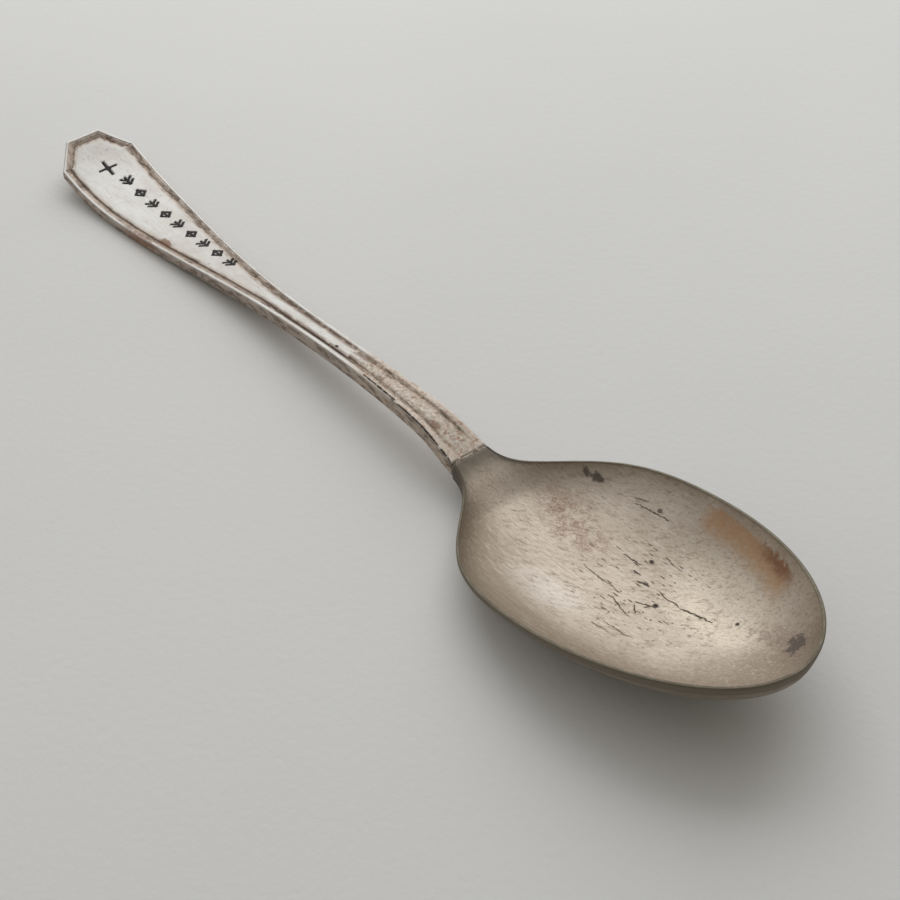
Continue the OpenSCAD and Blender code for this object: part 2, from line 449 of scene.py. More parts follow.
class Paint:
    """The node tree of a material or of the room's light, and the builders that fill it."""

    def __init__(self, name: str, owner: Any = None) -> None:
        """Starts an empty tree.

        Args:
            name: Name of the new material.
            owner: A world or material to fill instead.
        """
        self.owner = owner or bpy.data.materials.new(name)
        self.owner.use_nodes = True
        self.tree = self.owner.node_tree
        self.tree.nodes.clear()

    def node(self, kind: str, settings: dict[str, Any], inputs: dict[Any, Any]) -> Any:
        """Adds any node.

        Args:
            kind: The node's type.
            settings: Its properties, set before its sockets.
            inputs: Numbers, tuples, sockets or Signals by socket name or number.

        Returns:
            The new node.
        """
        made = self.tree.nodes.new(kind)
        for name, value in settings.items():
            setattr(made, name, value)
        for name, value in inputs.items():
            socket = made.inputs[name]
            if isinstance(value, Signal):
                value = value.socket
            if isinstance(value, bpy.types.NodeSocket):
                self.tree.links.new(value, socket)
            elif socket.type == "RGBA":
                socket.default_value = (*value, 1.0)
            else:
                socket.default_value = value
        return made

    def maths(self, operation: str, *values: Any) -> Signal:
        """Adds a Math node on up to three values."""
        made = self.node("ShaderNodeMath", {"operation": operation}, dict(enumerate(values)))
        return Signal(self, made.outputs[0])

    def vector(self, operation: str, *values: Any) -> Signal:
        """Adds a Vector Math node and gives its vector."""
        made = self.node("ShaderNodeVectorMath", {"operation": operation}, dict(enumerate(values)))
        return Signal(self, made.outputs["Vector"])

    def place(self, form: SpoonForm) -> Signal:
        """The point on the piece in millimetres from the handle's end.

        Args:
            form: The spoon's sizes.

        Returns:
            The point.
        """
        where = self.node("ShaderNodeTexCoord", {}, {}).outputs["Object"]
        scaled = self.vector("MULTIPLY", where, (1 / MM,) * 3)
        return self.vector("ADD", scaled, (-form.start_x / MM, 0.0, 0.0))

    def split(self, vector: Signal) -> tuple[Signal, Signal, Signal]:
        """The three parts of a vector."""
        outs = self.node("ShaderNodeSeparateXYZ", {}, {0: vector}).outputs
        return Signal(self, outs[0]), Signal(self, outs[1]), Signal(self, outs[2])

    def mark(self, name: str) -> Signal:
        """A float attribute of the mesh."""
        node = self.node("ShaderNodeAttribute", {"attribute_name": name}, {})
        return Signal(self, node.outputs["Fac"])

    def stretched(self, where: Signal, turn: float, along: float, across: float) -> Signal:
        """Turns a pattern about Z, then stretches it.

        Args:
            where: The point.
            turn: Degrees from the spoon's length.
            along: Waves a millimetre along the turned line.
            across: Waves a millimetre across it.

        Returns:
            The new point.
        """
        node = self.node(
            "ShaderNodeVectorRotate",
            {"rotation_type": "Z_AXIS"},
            {"Vector": where, "Angle": -math.radians(turn)},
        )
        return self.vector("MULTIPLY", node.outputs[0], (along, across, across))

    def noise(self, where: Signal, scale: float, detail: float = 3.0, rough: float = 0.55,
              twist: float = 0.0) -> Signal:
        """Cloudy noise from 0 to 1, mostly near a half.

        Args:
            where: The point.
            scale: Clouds a unit.
            detail: How many finer layers there are.
            rough: How strong those are.
            twist: How far the clouds curl.

        Returns:
            The noise.
        """
        node = self.node(
            "ShaderNodeTexNoise",
            {"noise_dimensions": "3D"},
            {"Vector": where, "Scale": scale, "Detail": detail, "Roughness": rough,
             "Distortion": twist},
        )
        return Signal(self, node.outputs["Fac"])

    def cells(self, where: Signal, scale: float) -> Signal:
        """Distance from scattered points, in cells.

        Args:
            where: The point.
            scale: Cells a unit.

        Returns:
            The distance.
        """
        node = self.node(
            "ShaderNodeTexVoronoi",
            {"feature": "F1"},
            {"Vector": where, "Scale": scale},
        )
        return Signal(self, node.outputs["Distance"])

    def mix(self, share: Any, first: Any, second: Any) -> Signal:
        """Mixes two colours.

        Args:
            share: How much of the second.
            first: The first colour.
            second: The second colour.

        Returns:
            The mixed colour.
        """
        node = self.node(
            "ShaderNodeMix",
            {"data_type": "RGBA", "clamp_factor": True},
            {"Factor": share},
        )
        for socket, value in ((node.inputs[6], first), (node.inputs[7], second)):
            if isinstance(value, Signal):
                self.tree.links.new(value.socket, socket)
            else:
                socket.default_value = (*value, 1.0)
        return Signal(self, node.outputs[2])

    def layers(self, colour: Any, *coats: tuple[Any, Any]) -> Signal:
        """Lays coats over a colour in turn.

        Args:
            colour: What lies at the bottom.
            coats: The share and the colour of each coat, from the bottom up.

        Returns:
            The mixed colour.
        """
        for share, coat in coats:
            colour = self.mix(share, colour, coat)
        return colour

    def scratch(self, x: Signal, y: Signal, cut: Scratch) -> Signal:
        """How deep in a scratch a point is: 1 on its line, 0 at its edge, thin at its ends.

        Args:
            x: Place along the spoon.
            y: Place across it.
            cut: The scratch.

        Returns:
            The depth.
        """
        dx, dy = cut.x1 - cut.x0, cut.y1 - cut.y0
        length2 = dx * dx + dy * dy
        u, v = x - cut.x0, y - cut.y0
        along = ((u * dx + v * dy) / length2).at_least(0.0).at_most(1.0)
        off = ((u - along * dx) ** 2 + (v - along * dy) ** 2) ** 0.5
        taper = (along * (1.0 - along) * 4.0) ** 0.35
        return (off / (taper * cut.width * 0.72 + 0.02)).between(1.0, 0.3) * cut.depth

    def blots(self, x: Signal, y: Signal, spots: Sequence[Blot], ragged: Signal) -> Signal:
        """The strongest of several stains."""
        return self.most([self.blot(x, y, spot, ragged) for spot in spots])

    def blot(self, x: Signal, y: Signal, spot: Blot, ragged: Signal) -> Signal:
        """How far inside an oval stain a point is, with noise on its edge.

        Args:
            x: Place along the spoon.
            y: Place across it.
            spot: The stain.
            ragged: Noise for the edge.

        Returns:
            The share, 1 well inside.
        """
        c, s = math.cos(math.radians(spot.turn)), math.sin(math.radians(spot.turn))
        u, v = x - spot.x, y - spot.y
        a, b = (u * c + v * s) / spot.along, (v * c - u * s) / spot.across
        reach = (a * a + b * b) ** 0.5 + (ragged - 0.5) * (2.0 * spot.ragged)
        return reach.between(1.15, 0.45) * spot.strength

    def most(self, values: Sequence[Signal]) -> Signal:
        """The largest of several values.

        Args:
            values: At least one value.

        Returns:
            The largest at each point.
        """
        found = values[0]
        for value in values[1:]:
            found = found.at_least(value)
        return found

    def bump(self, height: Signal, distance: float) -> Any:
        """A normal from a height in millimetres times distance."""
        node = self.node(
            "ShaderNodeBump", {}, {"Height": height, "Distance": distance * MM, "Strength": 1.0}
        )
        return node.outputs["Normal"]

    def shade(self, colour: Any, rough: Any, metal: Any, normal: Any) -> bpy.types.Material:
        """Finishes the material with one Principled shader.

        Args:
            colour: Base colour.
            rough: Roughness.
            metal: Metallic.
            normal: The normal that carries the fine relief.

        Returns:
            The material.
        """
        inputs = {"Base Color": colour, "Roughness": rough, "Metallic": metal, "Normal": normal}
        shader = self.node("ShaderNodeBsdfPrincipled", {}, inputs)
        self.node("ShaderNodeOutputMaterial", {}, {"Surface": shader.outputs[0]})
        return self.owner


# ---- finishes


@dataclass(frozen=True)
class BowlPlate:
    """Satin silver plate, brushed by years of washing, with scratches, pits and stains; painted
    highlights and painted shade on its walls, rim and outside.
    """

    form: SpoonForm
    light: Colour = (0.60, 0.525, 0.44)
    dull: Colour = (0.49, 0.42, 0.34)
    dark: Colour = (0.055, 0.04, 0.033)
    rust: Colour = (0.52, 0.31, 0.165)
    deep_rust: Colour = (0.20, 0.075, 0.035)
    smoke: Colour = (0.12, 0.10, 0.09)
    smoke_edge: Colour = (0.30, 0.20, 0.17)
    # painted highlight: pale colour for the soft bright patch on the near wall
    painted_highlight: Colour = (0.74, 0.71, 0.67)
    # painted light: lighter colour for the lit part of the far (+Y) wall
    far_wall_light: Colour = (0.80, 0.71, 0.58)
    # painted reflection: the darker tan that the near (-Y) wall shows
    near_wall_reflection: Colour = (0.30, 0.24, 0.175)
    brushed: Colour = (0.36, 0.31, 0.26)
    mottled: Colour = (0.30, 0.225, 0.165)
    grain: Colour = (0.22, 0.16, 0.12)
    scuffed: Colour = (0.78, 0.74, 0.68)
    clouded: Colour = (0.36, 0.29, 0.23)
    freckled: Colour = (0.36, 0.23, 0.16)
    flecked: Colour = (0.14, 0.065, 0.045)
    # tarnish on the rim, and painted shade on the outer wall below it
    rim_tarnish_and_shade: Colour = (0.135, 0.12, 0.08)
    # painted highlight: a thin light line along the flat of the rim
    rim_highlight: Colour = (0.48, 0.45, 0.36)
    # painted shade: darker colour for the whole outside of the bowl
    back: Colour = (0.22, 0.18, 0.14)
    brush_turn: float = 30.0
    oval_at: float = 123.5
    oval_long: float = 28.5
    oval_half: float = 16.2
    scratched_area: Blot = Blot(124.5, 3.0, 11.0, 8.5)
    speckled_area: Blot = Blot(110.8, 4.0, 8.5, 3.6, -8, 1.0, 0.7)
    spotted_area: Blot = Blot(129.0, -0.5, 11.0, 5.5, 0, 1.0, 0.6)
    # where the painted highlight lies on the near wall
    painted_highlight_area: Blot = Blot(116.5, -6.5, 8.0, 3.6, 18, 1.0, 0.5)
    # where the far wall is painted lighter
    far_wall_light_area: Blot = Blot(135.0, 6.5, 11.0, 6.0, -16, 1.0, 0.3)
    scratches: tuple[Scratch, ...] = (
        Scratch(126.0, 4.0, 130.6, 3.8, 0.13),
        Scratch(130.2, 3.8, 135.0, 4.4, 0.2),
        Scratch(116.7, 0.7, 122.5, 0.8, 0.13, 0.7),
        Scratch(122.5, -0.4, 126.7, -1.3, 0.15, 0.8),
        Scratch(118.8, 5.3, 121.8, 5.7, 0.14),
        Scratch(121.6, 4.4, 123.0, 4.4, 0.16),
        Scratch(123.3, 3.5, 125.1, 3.9, 0.18),
        Scratch(125.5, 1.0, 128.1, 1.9, 0.16),
        Scratch(125.9, 0.6, 127.1, -0.4, 0.2),
        Scratch(127.1, 1.0, 127.9, 2.3, 0.16),
        Scratch(125.5, -4.2, 130.4, -3.8, 0.13, 0.7),
        Scratch(125.0, -5.5, 127.7, -5.1, 0.16, 0.6),
        Scratch(123.3, 8.2, 126.4, 7.8, 0.12, 0.7),
        Scratch(113.9, 11.8, 115.8, 12.2, 0.14, 0.8),
        Scratch(114.5, 11.2, 119.9, 12.0, 0.13, 0.9),
    )
    pits: tuple[Blot, ...] = (
        Blot(127.9, 2.2, 0.45, 0.3, 0, 1.0, 0.2),
        Blot(122.4, 6.7, 0.4, 0.3, 0, 0.9, 0.2),
        Blot(108.3, 10.4, 1.1, 0.55, 10, 0.8, 1.5),
        Blot(106.9, 9.9, 0.7, 0.4, 0, 0.75, 1.5),
        Blot(117.9, 12.2, 0.4, 0.3, 0, 0.7, 0.5),
        Blot(137.8, 5.6, 0.3, 0.25, 0, 0.9, 0.3),
    )
    tip_stains: tuple[Blot, ...] = (
        Blot(146.6, 5.4, 1.5, 2.1, 20, 0.95, 1.3),
        Blot(143.6, 6.0, 3.6, 1.7, 0, 0.55, 1.6),
    )

    def material(self) -> bpy.types.Material:
        """Builds the node tree.

        Returns:
            The material.
        """
        p = Paint("bowl_plate")
        at = p.place(self.form)
        x, y, _ = p.split(at)
        rim, inside = p.mark("rim"), p.mark("inside")
        cloud = p.noise(at, 0.11, 4.0, 0.6, 0.4)
        patch = p.noise(at, 0.55, 5.0, 0.65)
        grit = p.noise(at, 5.0, 3.0, 0.6)
        brush = p.noise(p.stretched(at, self.brush_turn, 0.22, 5.5), 1.0, 4.0, 0.65)
        wear = p.noise(p.stretched(at, 2.0, 0.12, 4.0), 1.0, 3.0, 0.6)
        mottle = p.noise(p.stretched(at, self.brush_turn, 0.5, 1.9), 1.0, 6.0, 0.78)
        fine = p.noise(p.stretched(at, 12.0, 1.6, 4.5), 1.0, 4.0, 0.7)
        ragged = p.noise(at, 0.9, 4.0, 0.7)
        dashes = p.cells(p.stretched(at, 3.0, 0.33, 2.2), 1.0)
        specks = p.cells(at, 1.15)
        scratched = p.blot(x, y, self.scratched_area, patch)
        dash = dashes.between(0.23, 0.1) * ragged.between(0.42, 0.52) * scratched
        xw, yw = x + (ragged - 0.5) * 1.3, y + (patch - 0.5) * 1.1
        cuts = p.most([p.scratch(xw, yw, s) for s in self.scratches]) * fine.between(0.34, 0.52)
        pits = p.blots(x, y, self.pits, ragged)
        speckled = p.blot(x, y, self.speckled_area, patch)
        oval = (((x - self.oval_at) / self.oval_long) ** 2 + (y / self.oval_half) ** 2) ** 0.5
        reach = (1.0 - oval) * 19.0 + (ragged - 0.5) * 1.6
        span = x.between(122.5, 125.0) * x.between(141.0, 138.0) * y.between(4.0, 8.0)
        depth = reach.between(0.9, 1.3) * reach.between(4.6, 2.2)
        rusty = depth * span * mottle.between(0.24, 0.44)
        darkest = rusty * x.between(131.0, 136.0) * reach.between(2.5, 1.5)
        smoky = p.blots(x, y, self.tip_stains, ragged)
        spotty = p.blot(x, y, self.spotted_area, patch)
        dots = specks.between(0.24, 0.12) * ragged.between(0.42, 0.54) * (0.15 + spotty * 0.85)
        torn = patch.between(0.38, 0.54) * ragged.between(0.34, 0.54)
        fleck = (speckled * torn * grit.between(0.46, 0.6) * 0.6).at_least(dots)
        shoulder = rim * x.between(102.0, 98.0)
        black = (cuts * 0.9).at_least(dash * 0.7).at_least(pits) * inside
        black = black.at_least(shoulder * 0.8)

        # Painted reflection: a tan band in from the rim on the near (-Y) wall.
        near = y - (x - 133.0).at_least(0.0) * 0.75
        wall = reach.between(12.0, 4.5) * near.between(-0.5, -6.0)
        colour = p.layers(
            p.mix(cloud.between(0.35, 0.68), self.dull, self.light),
            # painted highlight on the near wall
            (p.blot(x, y, self.painted_highlight_area, cloud) * 0.4, self.painted_highlight),
            # painted light on the far wall
            (p.blot(x, y, self.far_wall_light_area, cloud) * 0.6, self.far_wall_light),
            # painted reflection on the near wall
            (wall * inside * 0.8, self.near_wall_reflection),
            (brush.between(0.48, 0.7) * 0.28, self.brushed),
            (mottle.between(0.5, 0.66) * 0.6, self.mottled),
            (fine.between(0.54, 0.66) * 0.45, self.grain),
            (wear.between(0.5, 0.3) * 0.3, self.scuffed),
            (patch.between(0.56, 0.74) * 0.35, self.clouded),
            (speckled * torn * 0.45, self.freckled),
            (fleck * 0.8, self.flecked),
            (rusty * inside * (0.3 + mottle * 0.9), self.rust),
            (darkest * inside * 0.7, self.deep_rust),
            (smoky * inside * fine.between(0.3, 0.55) * 0.75, self.smoke_edge),
            (smoky.between(0.55, 0.95) * inside * 0.8, self.smoke),
            # rim tarnish, with painted shade down the outer wall
            (rim.between(0.25, 0.6) * 0.8, self.rim_tarnish_and_shade),
            # painted highlight on the flat of the rim
            (rim.between(0.85, 1.0) * patch.between(0.45, 0.62) * 0.3, self.rim_highlight),
            # painted shade over the outside of the bowl
            ((1.0 - inside) * (0.35 + patch * 0.6), self.back),
            (black, self.dark),
        )

        stained = (rusty.at_least(smoky) * inside).at_least(black).at_least(rim * 0.7)
        rough = 0.50 + (cloud - 0.5) * 0.16 + (brush - 0.5) * 0.2 + mottle.between(0.5, 0.7) * 0.12
        rough = (rough + stained * 0.28).at_least(0.16).at_most(0.9)
        metal = 0.62 - stained * 0.4 - mottle.between(0.5, 0.7) * 0.12
        height = brush * 0.22 + wear * 0.18 + grit * 0.12 + cloud * 0.5 - black * 1.6 - fleck * 0.4
        return p.shade(colour, rough, metal, p.bump(height, 0.045))


@dataclass(frozen=True)
class HandlePlate:
    """Silver plate worn bright on what stands proud and tarnished brown in the grooves, with a
    painted highlight along the rounded edge.
    """

    form: SpoonForm
    light: Colour = (0.545, 0.54, 0.52)
    dull: Colour = (0.46, 0.44, 0.41)
    tarnish: Colour = (0.125, 0.072, 0.043)
    rust: Colour = (0.33, 0.17, 0.10)
    border_brown: Colour = (0.45, 0.35, 0.275)
    streaked: Colour = (0.42, 0.35, 0.30)
    neck_pink: Colour = (0.64, 0.535, 0.44)
    neck_rust: Colour = (0.36, 0.20, 0.12)
    crust_pale: Colour = (0.76, 0.70, 0.62)
    crust_dark: Colour = (0.20, 0.125, 0.085)
    # painted highlight, with polish from wear, along the rounded edge
    edge_highlight: Colour = (0.80, 0.77, 0.73)
    crack: Colour = (0.03, 0.022, 0.018)
    blots: tuple[Blot, ...] = (
        Blot(28.1, -2.9, 1.7, 0.7, 0, 1.0, 0.9),
        Blot(25.0, -5.2, 5.0, 0.9, 0, 0.9, 1.2),
        Blot(89.7, -0.8, 1.1, 0.6, 0, 0.8, 0.6),
    )
    pits: tuple[Blot, ...] = (
        Blot(67.9, -0.5, 0.35, 0.22, 0, 1.0, 0.2),
        Blot(60.5, -2.4, 0.5, 0.3, 0, 1.0, 0.2),
    )
    crevices: tuple[Scratch, ...] = (
        Scratch(75.5, -1.75, 83.0, -1.95, 0.3, 1.0),
        Scratch(82.0, -2.15, 92.5, -2.55, 0.34, 1.0),
        Scratch(52.0, -1.25, 70.5, -1.05, 0.2, 0.8),
        Scratch(93.0, -2.6, 95.5, -2.9, 0.4, 1.0),
        Scratch(92.5, 2.75, 95.5, 3.0, 0.25, 0.9),
    )

    def material(self) -> bpy.types.Material:
        """Builds the node tree.

        Returns:
            The material.
        """
        p = Paint("handle_plate")
        at = p.place(self.form)
        x, y, _ = p.split(at)
        groove, border = p.mark("groove"), p.mark("border")
        edge, side = p.mark("edge"), p.mark("side")
        cloud = p.noise(at, 0.16, 4.0, 0.6, 0.3)
        patch = p.noise(at, 0.9, 5.0, 0.68)
        grit = p.noise(at, 6.0, 3.0, 0.6)
        streak = p.noise(p.stretched(at, 0.0, 0.3, 4.5), 1.0, 4.0, 0.65)
        ragged = p.noise(at, 1.3, 4.0, 0.7)
        stain = p.noise(p.stretched(at, 0.0, 0.42, 1.3), 1.0, 4.0, 0.7)
        specks = p.cells(at, 1.6)
        neck = x.between(70.0, 76.0)
        blots = p.blots(x, y, self.blots, ragged)
        pits = p.blots(x, y, self.pits, ragged)
        cracks = p.most([p.scratch(x, y, s) for s in self.crevices])
        speck = specks.between(0.13, 0.05) * patch.between(0.42, 0.6)
        lumps = p.noise(at, 1.9, 3.0, 0.6)
        crust = neck * patch.between(0.38, 0.5) * (1.0 - side) * y.size().between(2.1, 1.2)
        foot = x.between(45.0, 55.0) * x.between(78.0, 70.0) * border * stain.between(0.38, 0.52)
        deep = groove * (0.12 + streak.between(0.4, 0.6) * patch.between(0.36, 0.58) * 0.88)
        flank = side * stain.between(0.46, 0.6) * 0.8
        far = y.between(-0.5, 0.5) * 0.35
        band = border * (0.06 + stain.between(0.48, 0.62) * (0.45 + far)) * (1.0 - neck * 0.6)
        gloom = border * p.noise(at, 0.35, 3.0).between(0.5, 0.62) * streak.between(0.4, 0.55)
        brown = deep.at_least(flank).at_least(band).at_least(patch.between(0.62, 0.74) * 0.45)
        brown = brown.at_least(gloom * 0.85).at_least(foot * 0.85)

        broken = cracks * ragged.between(0.36, 0.5)
        black = broken.at_least(pits).at_least(speck * 0.7) * (1.0 - side)
        colour = p.layers(
            p.mix(cloud.between(0.35, 0.65), self.dull, self.light),
            (border.at_least(side) * 0.7, self.border_brown),
            (streak.between(0.5, 0.72) * 0.35, self.streaked),
            (neck * 0.6, self.neck_pink),
            (crust * lumps.between(0.5, 0.6) * 0.6, self.crust_pale),
            (neck * ragged.between(0.52, 0.64) * (1.0 - side) * 0.75, self.neck_rust),
            (crust * lumps.between(0.45, 0.37) * 0.5, self.crust_dark),
            (brown * 0.9, self.tarnish),
            (blots * 0.7, self.rust),
            # painted highlight, with polish from wear, on the rounded edge
            (edge * streak.between(0.3, 0.6) * 0.6, self.edge_highlight),
            (black, self.crack),
        )

        stained = brown.at_least(blots).at_least(black)
        rough = 0.45 + (cloud - 0.5) * 0.12 + (streak - 0.5) * 0.2 + neck * 0.14
        rough = (rough + stained * 0.3 - edge * 0.08).at_least(0.18).at_most(0.9)
        metal = 0.72 - stained * 0.5 - crust * 0.25
        height = (streak * 0.25 + grit * (0.18 + neck * 0.6) + patch * (0.3 + neck * 1.2)
                  + lumps * crust - black * 1.4 + cloud * 0.5)
        return p.shade(colour, rough, metal.at_least(0.0), p.bump(height, 0.05))


@dataclass(frozen=True)
class SolderFilm:
    """Dull grey-brown solder in the seam."""

    form: SpoonForm
    dark: Colour = (0.20, 0.15, 0.11)
    pale: Colour = (0.50, 0.44, 0.38)
    grime: Colour = (0.10, 0.07, 0.05)

    def material(self) -> bpy.types.Material:
        """Builds the node tree.

        Returns:
            The material.
        """
        p = Paint("solder")
        at = p.place(self.form)
        grit, patch = p.noise(at, 4.0, 4.0, 0.7), p.noise(at, 1.2, 3.0)
        colour = p.mix(patch.between(0.35, 0.65), self.dark, self.pale)
        colour = p.mix(grit.between(0.5, 0.65) * 0.6, colour, self.grime)
        return p.shade(colour, 0.45 + grit * 0.25, 0.75 + patch * 0.1, p.bump(grit, 0.06))


@dataclass(frozen=True)
class BlackFill:
    """Old black left in the punched marks, matt with worn grey places."""

    form: SpoonForm
    black: Colour = (0.006, 0.006, 0.006)
    faded: Colour = (0.03, 0.024, 0.02)
    grey: Colour = (0.12, 0.10, 0.085)

    def material(self) -> bpy.types.Material:
        """Builds the node tree.

        Returns:
            The material.
        """
        p = Paint("black_fill")
        at = p.place(self.form)
        grit, patch = p.noise(at, 5.0, 4.0, 0.7), p.noise(at, 1.4, 3.0)
        colour = p.mix(patch.between(0.4, 0.7), self.black, self.faded)
        colour = p.mix(grit.between(0.62, 0.74) * 0.4, colour, self.grey)
        return p.shade(colour, 0.55 + grit * 0.3, 0.1 + patch * 0.05, p.bump(grit, 0.05))


@dataclass(frozen=True)
class TablePaper:
    """Pale matt paper under the spoon."""

    shade: Colour = (0.84, 0.85, 0.85)
    light: Colour = (0.88, 0.89, 0.885)

    def material(self) -> bpy.types.Material:
        """Builds the node tree.

        Returns:
            The material.
        """
        p = Paint("table_paper")
        where = Signal(p, p.node("ShaderNodeTexCoord", {}, {}).outputs["Object"])
        cloud, grain = p.noise(where, 9.0, 3.0), p.noise(where, 900.0, 2.0)
        colour = p.mix(cloud.between(0.3, 0.7), self.shade, self.light)
        return p.shade(colour, 0.8, 0.0, p.bump(grain * 0.5 + cloud, 0.1))


# ---- pieces


@dataclass
class Piece:
    """What every finished piece of the spoon has."""

    form: SpoonForm

    def finish(self, made: bpy.types.Object, material: bpy.types.Material, slot: str,
               *nodes: str) -> bpy.types.Object:
        """Dresses a piece, lets it ride on the root and stand for its solids.

        Args:
            made: The piece.
            material: Its finish.
            slot: The record's material slot.
            nodes: The solids it stands for.

        Returns:
            The same piece.
        """
        made.data.materials.clear()
        made.data.materials.append(material)
        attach(made, "root")
        if nodes:
            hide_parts(*nodes)
        LOG.info("%s: %d faces, finish %s", made.name, len(made.data.polygons), slot)
        return made


@dataclass
class Handle(Piece):
    """The handle: bevelled edge, outer rail, groove, raised panel and tongue, flat back."""

    border: float = 1.45
    groove: float = 0.28
    edge_round: float = 0.3
    back_round: float = 0.45
    tongue_half: float = 0.95
    tongue_from: float = 45.0
    tongue_end: float = 71.0
    fine_line: float = 0.1
    fine_line_depth: float = 0.05
    fine_line_width: float = 0.06
    step: float = 0.15
    crown: float = 0.07
    waves: tuple[float, float, int] = (0.02, 5.0, 11)
    ripples: tuple[float, float, int] = (0.012, 1.6, 5)
    sunk: float = 0.02
    star_at: float = 7.1
    star_size: float = 3.0
    mark_from: float = 7.4
    mark_pitch: float = 3.55
    mark_aside: float = 1.1
    mark_size: float = 2.1
    mark_depth: float = 0.3
    mark_slope: float = 0.06

    def punched(self) -> list[PunchedMark]:
        """The ten marks: one large star, then chevrons and lozenges in turn.

        Returns:
            The marks from the end inwards.
        """
        marks = [PunchedMark(self.star_at, 0.0, self.star_size, Figure.STAR)]
        for i in range(1, 10):
            figure = Figure.CHEVRONS if i % 2 else Figure.LOZENGE
            at = self.mark_from + self.mark_pitch * i
            marks.append(PunchedMark(at, self.mark_aside, self.mark_size, figure))
        return marks

    def rail(self, x: Array) -> Array:
        """Width of the outer rail along the handle."""
        return 0.45 + 0.15 * ease((x - 30) / 30) + 0.5 * ease((x - 75) / 20)

    def lean(self, x: Array) -> Array:
        """How much longer across the handle a step square to its edge is on the coffin end.

        Args:
            x: Places along the handle.

        Returns:
            The ratio, 1 past the coffin end.
        """
        form = self.form
        run = math.hypot(form.shoulder_at, form.shoulder_half - form.end_half)
        return np.where(x < form.shoulder_at, run / form.shoulder_at, 1.0)

    def edge_gap(self, x: Array, y: Array) -> Array:
        """Distance in from the outline, the end included."""
        return np.minimum(x, (self.form.half_width(x) - np.abs(y)) / self.lean(x))

    def relief(self, x: Array, y: Array) -> Array:
        """Height of the moulding: rounded edge, rail, border that slopes down, raised panel.

        Args:
            x: Places along the handle.
            y: Places across it.

        Returns:
            The heights, none above 0.
        """
        gap = self.edge_gap(x, y)
        r = self.edge_round
        rounded = r * (1 - np.sqrt(clamp01(1 - clamp01(1 - gap / r) ** 2)))
        rail = self.rail(x)
        off = (gap - rail - self.fine_line) / self.fine_line_width
        line = self.fine_line_depth * np.exp(-(off**2)) * ease((72 - x) / 20)
        fade = 1 - ease((x - 90.5) / 4.5)
        slope = clamp01((gap - rail) / (self.border - self.step - rail))
        sunk = self.groove * (0.25 * ease(slope) + 0.75 * slope) * fade
        tongue = np.minimum(
            np.minimum(self.tongue_half - np.abs(y), self.tongue_end - x), x - self.tongue_from
        )
        inner = np.maximum(gap - self.border, tongue)
        raised = ease((inner + self.step) / self.step)
        crown = self.crown * clamp01(1 - inner / 1.2) ** 2 * raised
        return -rounded - line - sunk * (1 - raised) - crown

    def marks_depth(self, x: Array, y: Array) -> Array:
        """Depth of the punched marks, with walls that slope over a few hundredths.

        Args:
            x: Places along the handle.
            y: Places across it.

        Returns:
            The depths.
        """
        depth = np.zeros_like(x)
        for mark in self.punched():
            gap = mark.distance(x, y)
            wall = ease((self.mark_slope - gap) / self.mark_slope)
            depth = np.maximum(depth, self.mark_depth * wall)
        return depth

    def across(self, x: Array) -> Array:
        """Where the face's points lie across the handle, from +Y to the middle.

        The stations follow the edge, the rail, the groove and the panel, and each stretch
        between two stations is divided evenly.

        Args:
            x: Places along the handle, one for each ring.

        Returns:
            One row of half-width values for each ring.
        """
        w, k, rail = self.form.half_width(x), self.lean(x), self.rail(x)
        panel = np.where(x < self.tongue_end, np.maximum(w - self.border, self.tongue_half), 0.4)
        panel = panel - self.border * (k - 1)
        stations = np.stack(
            [w, w - 0.1 * k, w - self.edge_round * k, w - 0.4 * k, w - rail * k,
             w - (rail + 0.2) * k, panel + self.step, panel, np.zeros_like(w)]
        )
        stations = np.maximum.accumulate(stations[::-1], axis=0)[::-1]
        steps = (4, 4, 2, 1, 4, 7, 4, 30)
        rows = [
            stations[i] + (stations[i + 1] - stations[i]) * t
            for i, n in enumerate(steps)
            for t in np.arange(n) / n
        ]
        return np.stack([*rows, stations[-1]], axis=1)

    def rings(self) -> tuple[Array, dict[str, Array]]:
        """The rings and, for each point, how grooved, edge-like or side-like it is.

        Returns:
            The rings in millimetres and the marks for the finish.
        """
        form = self.form
        x = np.concatenate([
            np.linspace(0, 0.3, 8)[:-1], np.arange(0.3, 5.3, 0.09), np.arange(5.3, 41.5, 0.1),
            np.arange(41.5, 68.5, 0.35), np.arange(68.5, 72.0, 0.1),
            np.arange(72.0, form.joint_at - 0.1, 0.35), [form.joint_at],
        ])
        half = self.across(x)
        y = np.concatenate([half, -half[:, -2::-1]], axis=1)
        xs = np.repeat(x[:, None], y.shape[1], axis=1)
        relief = self.relief(xs, y)
        gap = self.edge_gap(xs, y)
        uneven = sum(
            height * soft_noise(xs, y, step, seed)
            for height, step, seed in (self.waves, self.ripples)
        ) * ease(gap / 0.6)
        top = form.face(xs) + relief + uneven - self.sunk - self.marks_depth(xs, y)
        w, z = form.half_width(x), form.face(x)
        under = np.maximum(0.0, z - form.thickness(x))
        r = self.back_round
        turn = np.linspace(0, np.pi / 2, 6)
        corner_y, corner_z = 1 - np.cos(turn), 1 - np.sin(turn)
        back_y = [-w + r * a for a in corner_y]
        back_z = [under + r * b for b in corner_z]
        flat = np.linspace(-1, 1, 9)[1:-1]
        back_y = [*back_y, *[(w - r) * t for t in flat], *[-v for v in back_y[::-1]]]
        back_z = [*back_z, *[under for _ in flat], *back_z[::-1]]
        by, bz = np.stack(back_y, 1), np.stack(back_z, 1)
        bx = np.repeat(x[:, None], by.shape[1], axis=1)
        points = np.stack([np.hstack([xs, bx]), np.hstack([y, by]), np.hstack([top, bz])], -1)
        rail_end = self.rail(xs)
